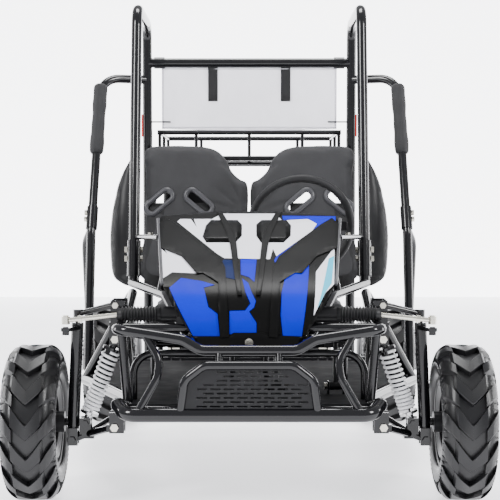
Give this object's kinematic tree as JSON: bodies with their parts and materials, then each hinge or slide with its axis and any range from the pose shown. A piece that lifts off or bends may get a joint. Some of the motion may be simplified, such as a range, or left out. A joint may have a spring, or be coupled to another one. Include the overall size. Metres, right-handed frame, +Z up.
{
  "type": "two-seat off-road kart chassis",
  "caption": "Tube-frame off-road kart with roll cage, seats, rack steering, sprung wheels, chain-driven rear axle and luggage rack.",
  "frame": {"origin": "on the ground under the middle of the kart, midway between the axles", "axes": "+Z up, +Y to the rear, +X to the driver's left"},
  "size_m": [1.028, 1.5425, 1.1207],
  "materials": {
    "painted_frame": "gloss black powder coat",
    "steel_plate": "satin black",
    "zinc": "zinc plated",
    "steel": "bright steel",
    "engine_cast": "cast",
    "spring_white": "white powder coat",
    "tyre": "moulded rubber",
    "rubber": "ribbed rubber",
    "foam": "closed-cell foam",
    "fairing": "gloss printed",
    "plastic": "textured",
    "seat_fabric": "woven and vinyl",
    "screen": "pale sheet",
    "webbing": "webbing",
    "reflector": "prismatic",
    "rim_paint": "black"
  },
  "bodies": {
    "chassis": {"bumper_mesh": "steel_plate", "column_bush": "plastic", "cowl_frame": "painted_frame", "floor_pan": "steel_plate", "frame_bolts": "zinc", "front_bumper": "painted_frame", "front_fairing": "fairing", "fuel_tank": "plastic", "harness": "webbing", "main_frame": "painted_frame", "rack_bellows": "rubber", "rack_housing": "steel_plate", "rear_rack": "painted_frame", "rear_screen": "screen", "reflectors": "reflector", "roll_cage": "painted_frame", "seat_back_left": "seat_fabric", "seat_back_right": "seat_fabric", "seat_bases": "seat_fabric", "seat_frame": "painted_frame", "side_bars": "painted_frame", "side_pads": "foam"},
    "steering": {"steering_column": "steel", "steering_wheel": "plastic", "wheel_grip": "foam"},
    "rack": {"steering_rack": "steel"},
    "swing_arm": {"swing_arm": "painted_frame", "engine": "engine_cast", "exhaust": "steel_plate", "drive_chain": "steel", "brake_caliper": "steel_plate"},
    "rear_axle": {"rear_axle": "steel", "rear_rims": "rim_paint", "rear_tyres": "tyre"},
    "clutch": {"clutch_drum": "zinc"},
    "rear_shock_body": {"rear_shock_body": "plastic", "rear_spring": "spring_white"},
    "rear_shock_ram": {"rear_shock_ram": "steel"},
    "throttle": {"throttle_pedal": "steel_plate"},
    "brake": {"brake_pedal": "steel_plate"},
    "tie_rod_left": {"tie_rod_left": "zinc"},
    "lower_arm_left": {"lower_arm_left": "painted_frame"},
    "lower_joint_left": {"lower_joint_left": "zinc"},
    "knuckle_left": {"knuckle_left": "painted_frame"},
    "upper_arm_left": {"upper_arm_left": "painted_frame"},
    "shock_body_left": {"shock_body_left": "plastic", "shock_spring_left": "spring_white"},
    "shock_ram_left": {"shock_ram_left": "steel"},
    "front_wheel_left": {"front_rim_left": "rim_paint", "front_tyre_left": "tyre"},
    "tie_rod_right": {"tie_rod_right": "zinc"},
    "lower_arm_right": {"lower_arm_right": "painted_frame"},
    "lower_joint_right": {"lower_joint_right": "zinc"},
    "knuckle_right": {"knuckle_right": "painted_frame"},
    "upper_arm_right": {"upper_arm_right": "painted_frame"},
    "shock_body_right": {"shock_body_right": "plastic", "shock_spring_right": "spring_white"},
    "shock_ram_right": {"shock_ram_right": "steel"},
    "front_wheel_right": {"front_rim_right": "rim_paint", "front_tyre_right": "tyre"}
  },
  "joints": [
    {"name": "steering_turn", "type": "hinge", "parent": "chassis", "child": "steering", "pos_m": [0.126, -0.115, 0.576], "axis": [0, 0.9422, 0.335], "range_deg": [-90, 90]},
    {"name": "rack_slide", "type": "slide", "parent": "chassis", "child": "rack", "axis": [1, 0, 0], "range_m": [-0.0256, 0.0256]},
    {"name": "tie_rod_tilt_left", "type": "hinge", "parent": "rack", "child": "tie_rod_left", "pos_m": [0.265, -0.61, 0.4], "axis": [0, -1, 0], "range_deg": [-0.5, 14.5]},
    {"name": "arm_swing_left", "type": "hinge", "parent": "chassis", "child": "lower_arm_left", "pos_m": [0.278, -0.55, 0.169], "axis": [0, -1, 0], "range_deg": [0, 15], "stiffness_Nm_per_rad": 230, "springref_deg": -18.33},
    {"name": "joint_tilt_left", "type": "hinge", "parent": "lower_arm_left", "child": "lower_joint_left", "pos_m": [0.377, -0.55, 0.128], "axis": [0, -1, 0], "range_deg": [-15, 0.5]},
    {"name": "kingpin_left", "type": "hinge", "parent": "lower_joint_left", "child": "knuckle_left", "pos_m": [0.377, -0.55, 0.128], "axis": [-0.0447, 0, 0.999], "range_deg": [-25.2, 25.2]},
    {"name": "upper_arm_swing_left", "type": "hinge", "parent": "chassis", "child": "upper_arm_left", "pos_m": [0.282, -0.55, 0.417], "axis": [0, -1, 0], "range_deg": [-0.5, 18.5]},
    {"name": "shock_swing_left", "type": "hinge", "parent": "chassis", "child": "shock_body_left", "pos_m": [0.285, -0.55, 0.343], "axis": [0, -1, 0], "range_deg": [-0.2, 2.2]},
    {"name": "shock_stroke_left", "type": "slide", "parent": "shock_body_left", "child": "shock_ram_left", "axis": [-0.335, 0, 0.9422], "range_m": [-0.001, 0.0185], "deforming": ["shock_spring_left"]},
    {"name": "front_wheel_spin_left", "type": "hinge", "parent": "knuckle_left", "child": "front_wheel_left", "pos_m": [0.456, -0.55, 0.165], "axis": [1, 0, 0], "continuous": true},
    {"name": "tie_rod_tilt_right", "type": "hinge", "parent": "rack", "child": "tie_rod_right", "pos_m": [-0.265, -0.61, 0.4], "axis": [0, 1, 0], "range_deg": [-0.5, 14.5]},
    {"name": "arm_swing_right", "type": "hinge", "parent": "chassis", "child": "lower_arm_right", "pos_m": [-0.278, -0.55, 0.169], "axis": [0, 1, 0], "range_deg": [0, 15], "stiffness_Nm_per_rad": 230, "springref_deg": -18.33},
    {"name": "joint_tilt_right", "type": "hinge", "parent": "lower_arm_right", "child": "lower_joint_right", "pos_m": [-0.377, -0.55, 0.128], "axis": [0, 1, 0], "range_deg": [-15, 0.5]},
    {"name": "kingpin_right", "type": "hinge", "parent": "lower_joint_right", "child": "knuckle_right", "pos_m": [-0.377, -0.55, 0.128], "axis": [0.0447, 0, 0.999], "range_deg": [-25.2, 25.2]},
    {"name": "upper_arm_swing_right", "type": "hinge", "parent": "chassis", "child": "upper_arm_right", "pos_m": [-0.282, -0.55, 0.417], "axis": [0, 1, 0], "range_deg": [-0.5, 18.5]},
    {"name": "shock_swing_right", "type": "hinge", "parent": "chassis", "child": "shock_body_right", "pos_m": [-0.285, -0.55, 0.343], "axis": [0, 1, 0], "range_deg": [-0.2, 2.2]},
    {"name": "shock_stroke_right", "type": "slide", "parent": "shock_body_right", "child": "shock_ram_right", "axis": [0.335, 0, 0.9422], "range_m": [-0.001, 0.0185], "deforming": ["shock_spring_right"]},
    {"name": "front_wheel_spin_right", "type": "hinge", "parent": "knuckle_right", "child": "front_wheel_right", "pos_m": [-0.456, -0.55, 0.165], "axis": [1, 0, 0], "continuous": true},
    {"name": "swing_arm_pivot", "type": "hinge", "parent": "chassis", "child": "swing_arm", "pos_m": [0, 0.335, 0.235], "axis": [1, 0, 0], "range_deg": [0, 8], "stiffness_Nm_per_rad": 620, "springref_deg": -17.19},
    {"name": "rear_shock_swing", "type": "hinge", "parent": "chassis", "child": "rear_shock_body", "pos_m": [0, 0.345, 0.52], "axis": [1, 0, 0], "range_deg": [-0.5, 0.5]},
    {"name": "rear_shock_stroke", "type": "slide", "parent": "rear_shock_body", "child": "rear_shock_ram", "axis": [0, -0.4239, 0.9057], "range_m": [-0.001, 0.019], "deforming": ["rear_spring"]},
    {"name": "rear_axle_spin", "type": "hinge", "parent": "swing_arm", "child": "rear_axle", "pos_m": [0, 0.55, 0.165], "axis": [1, 0, 0], "continuous": true},
    {"name": "clutch_spin", "type": "hinge", "parent": "swing_arm", "child": "clutch", "pos_m": [-0.165, 0.425, 0.268], "axis": [1, 0, 0], "continuous": true},
    {"name": "throttle_press", "type": "hinge", "parent": "chassis", "child": "throttle", "pos_m": [0.06, -0.47, 0.232], "axis": [1, 0, 0], "range_deg": [0, 25], "stiffness_Nm_per_rad": 4, "springref_deg": -11.46},
    {"name": "brake_press", "type": "hinge", "parent": "chassis", "child": "brake", "pos_m": [0.19, -0.47, 0.232], "axis": [1, 0, 0], "range_deg": [0, 22], "stiffness_Nm_per_rad": 6, "springref_deg": -11.46}
  ],
  "couplings": [
    {"joint": "rack_slide", "follows": "steering_turn", "m_per_rad": 0.016145},
    {"joint": "kingpin_left", "follows": "steering_turn", "ratio": 0.27778},
    {"joint": "tie_rod_tilt_left", "follows": "arm_swing_left", "ratio": 0.9},
    {"joint": "joint_tilt_left", "follows": "arm_swing_left", "ratio": -0.934},
    {"joint": "upper_arm_swing_left", "follows": "arm_swing_left", "ratio": 1.197},
    {"joint": "shock_swing_left", "follows": "arm_swing_left", "ratio": 0.122},
    {"joint": "shock_stroke_left", "follows": "arm_swing_left", "m_per_rad": 0.0674},
    {"joint": "kingpin_right", "follows": "steering_turn", "ratio": 0.27778},
    {"joint": "tie_rod_tilt_right", "follows": "arm_swing_right", "ratio": 0.9},
    {"joint": "joint_tilt_right", "follows": "arm_swing_right", "ratio": -0.934},
    {"joint": "upper_arm_swing_right", "follows": "arm_swing_right", "ratio": 1.197},
    {"joint": "shock_swing_right", "follows": "arm_swing_right", "ratio": 0.122},
    {"joint": "shock_stroke_right", "follows": "arm_swing_right", "m_per_rad": 0.0674},
    {"joint": "rear_shock_swing", "follows": "swing_arm_pivot", "ratio": -0.005},
    {"joint": "rear_shock_stroke", "follows": "swing_arm_pivot", "m_per_rad": 0.1299},
    {"joint": "clutch_spin", "follows": "rear_axle_spin", "ratio": 3}
  ]
}
